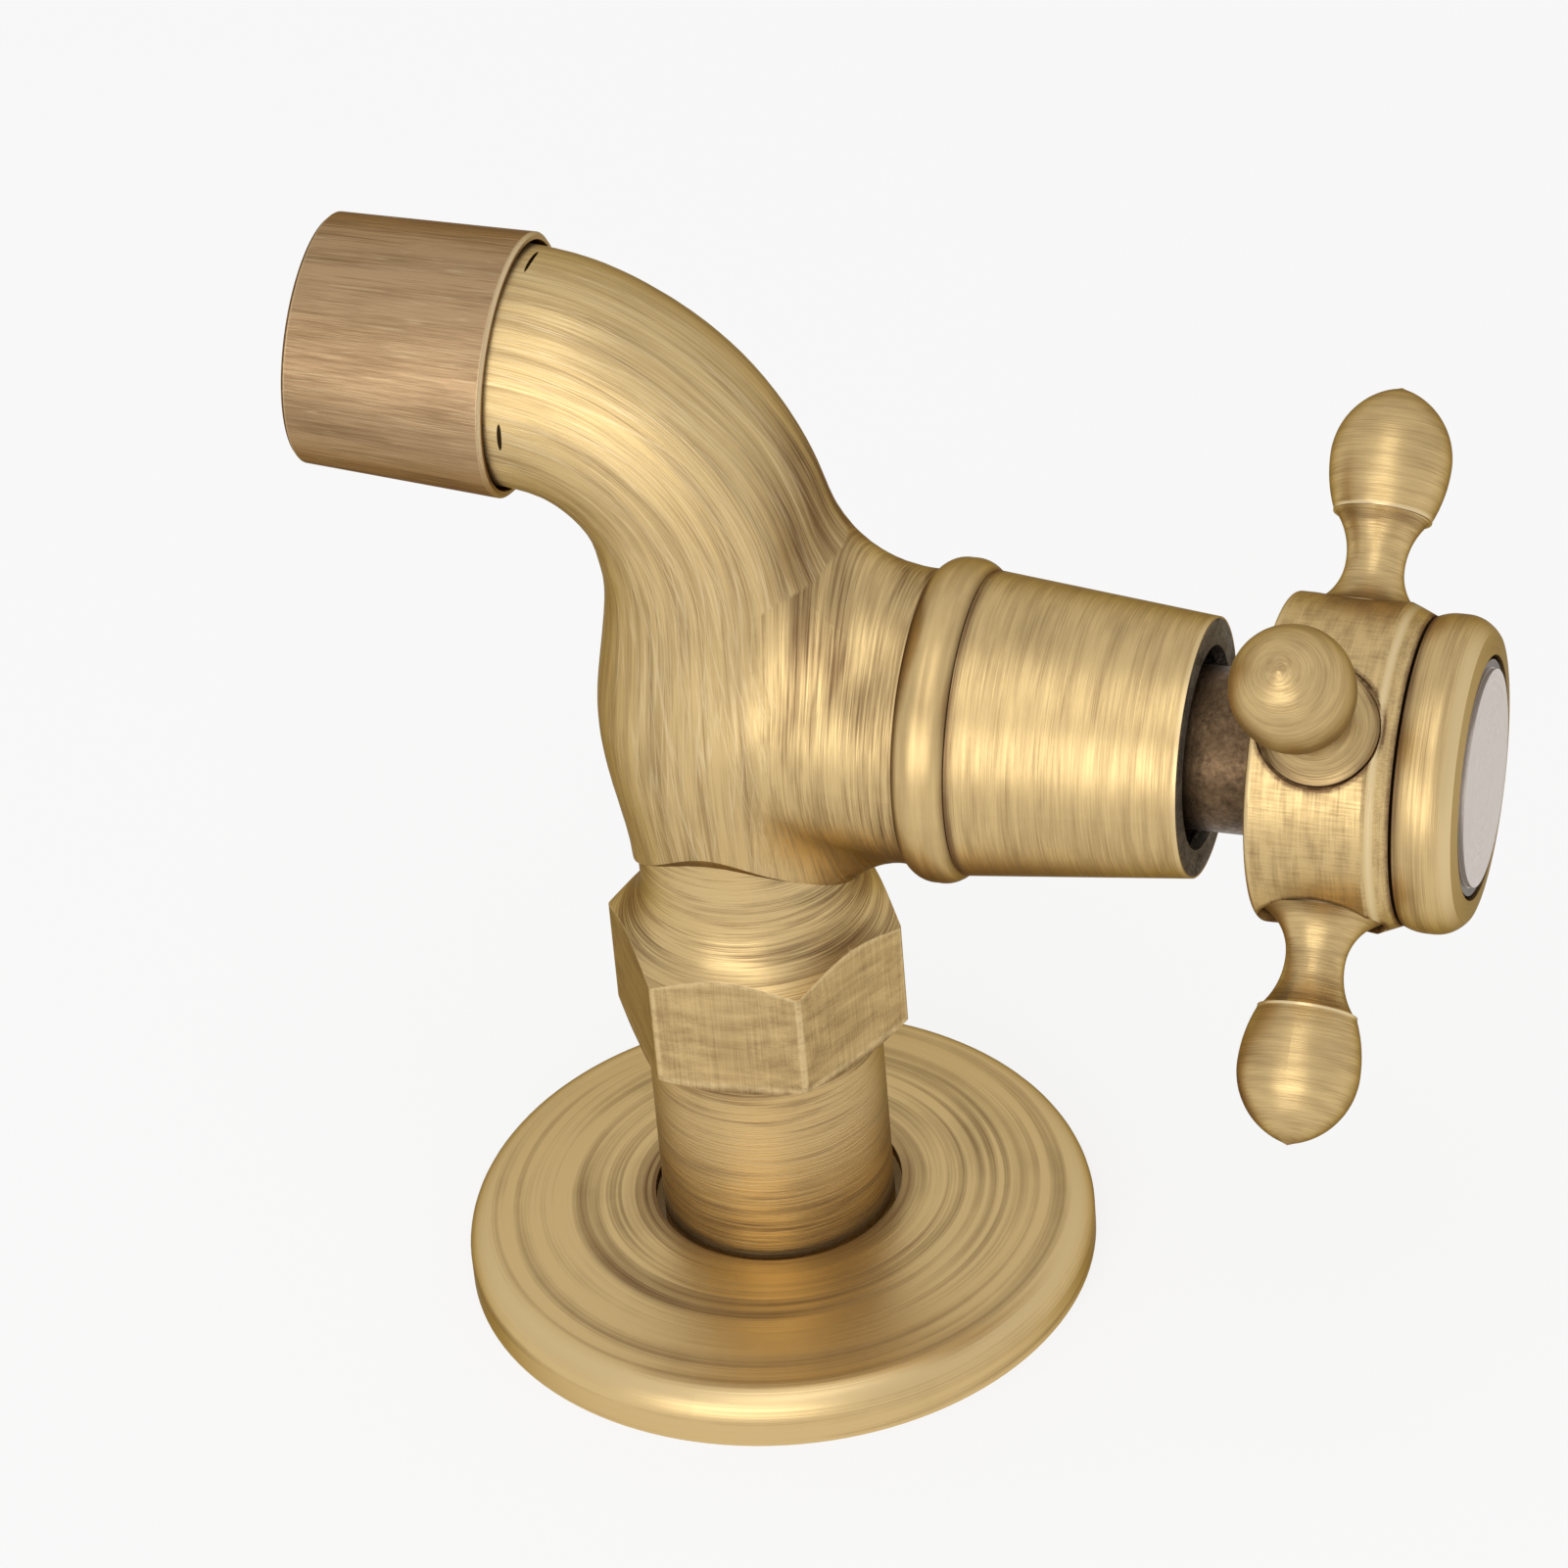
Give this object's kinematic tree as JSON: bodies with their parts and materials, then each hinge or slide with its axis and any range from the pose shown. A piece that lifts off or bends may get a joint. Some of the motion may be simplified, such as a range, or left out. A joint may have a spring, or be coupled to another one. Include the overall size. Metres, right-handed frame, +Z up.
{
  "type": "wall-mounted faucet",
  "caption": "Wall-mounted cold-water bib tap in antique brass: hexagon shank with loose wall flange, bulbous cast body, curved spout with aerator sleeve and a quarter-turn cross handle.",
  "frame": {"origin": "on the inlet axis, in the wall plane against which the flange rests", "axes": "-Y out of the wall, +Y into the wall along the inlet thread, +Z up along the valve tower"},
  "size_m": [0.0598, 0.123, 0.1054],
  "materials": {
    "cast_brass": "antique brass, belt-brushed, brown patina in the hollows",
    "flange_brass": "antique brass, coarse concentric brushing",
    "shroud_brass": "antique brass, fine brushing round the axis",
    "hub_brass": "antique brass, fine cross-hatched brushing",
    "arm_brass": "antique brass, turned",
    "cap_brass": "antique brass, turned, pale bevel",
    "sleeve_bronze": "brown bronze, coarse brushing along the axis",
    "dark_stem": "dark brown patina, mottled",
    "plain_brass": "bare machined brass",
    "index_enamel": "satin pale grey",
    "ceramic": "polished alumina",
    "black_rubber": "matte",
    "white_plastic": "moulded",
    "grey_plastic": "moulded",
    "spring_steel": "plain steel",
    "steel_screen": "woven wire screen"
  },
  "bodies": {
    "tap": {"body": "cast_brass", "valve_shroud": "shroud_brass", "headwork": "plain_brass", "fixed_disc": "ceramic", "seat_seal": "black_rubber", "headwork_seal": "black_rubber", "thrust_washer": "white_plastic", "nozzle_sleeve": "sleeve_bronze", "outlet_washer": "black_rubber", "aerator_housing": "grey_plastic", "aerator_screen_1": "steel_screen", "aerator_screen_2": "steel_screen", "aerator_jet_plate": "white_plastic"},
    "handle": {"spindle": "plain_brass", "moving_disc": "ceramic", "spindle_ring_lower": "black_rubber", "spindle_ring_upper": "black_rubber", "circlip": "spring_steel", "handle_stem": "dark_stem", "handle_hub": "hub_brass", "handle_arm_1": "arm_brass", "handle_arm_2": "arm_brass", "handle_arm_3": "arm_brass", "handle_arm_4": "arm_brass", "handle_cap": "cap_brass", "index_plate": "index_enamel", "handle_screw": "spring_steel", "screw_washer": "spring_steel"},
    "flange": {"wall_flange": "flange_brass"}
  },
  "joints": [
    {"name": "handle_turn", "type": "hinge", "parent": "tap", "child": "handle", "pos_m": [0, -0.064, 0.0566], "axis": [0, 0, 1], "range_deg": [0, 90]},
    {"name": "flange_slide", "type": "slide", "parent": "tap", "child": "flange", "axis": [0, -1, 0], "range_m": [0, 0.02]}
  ]
}
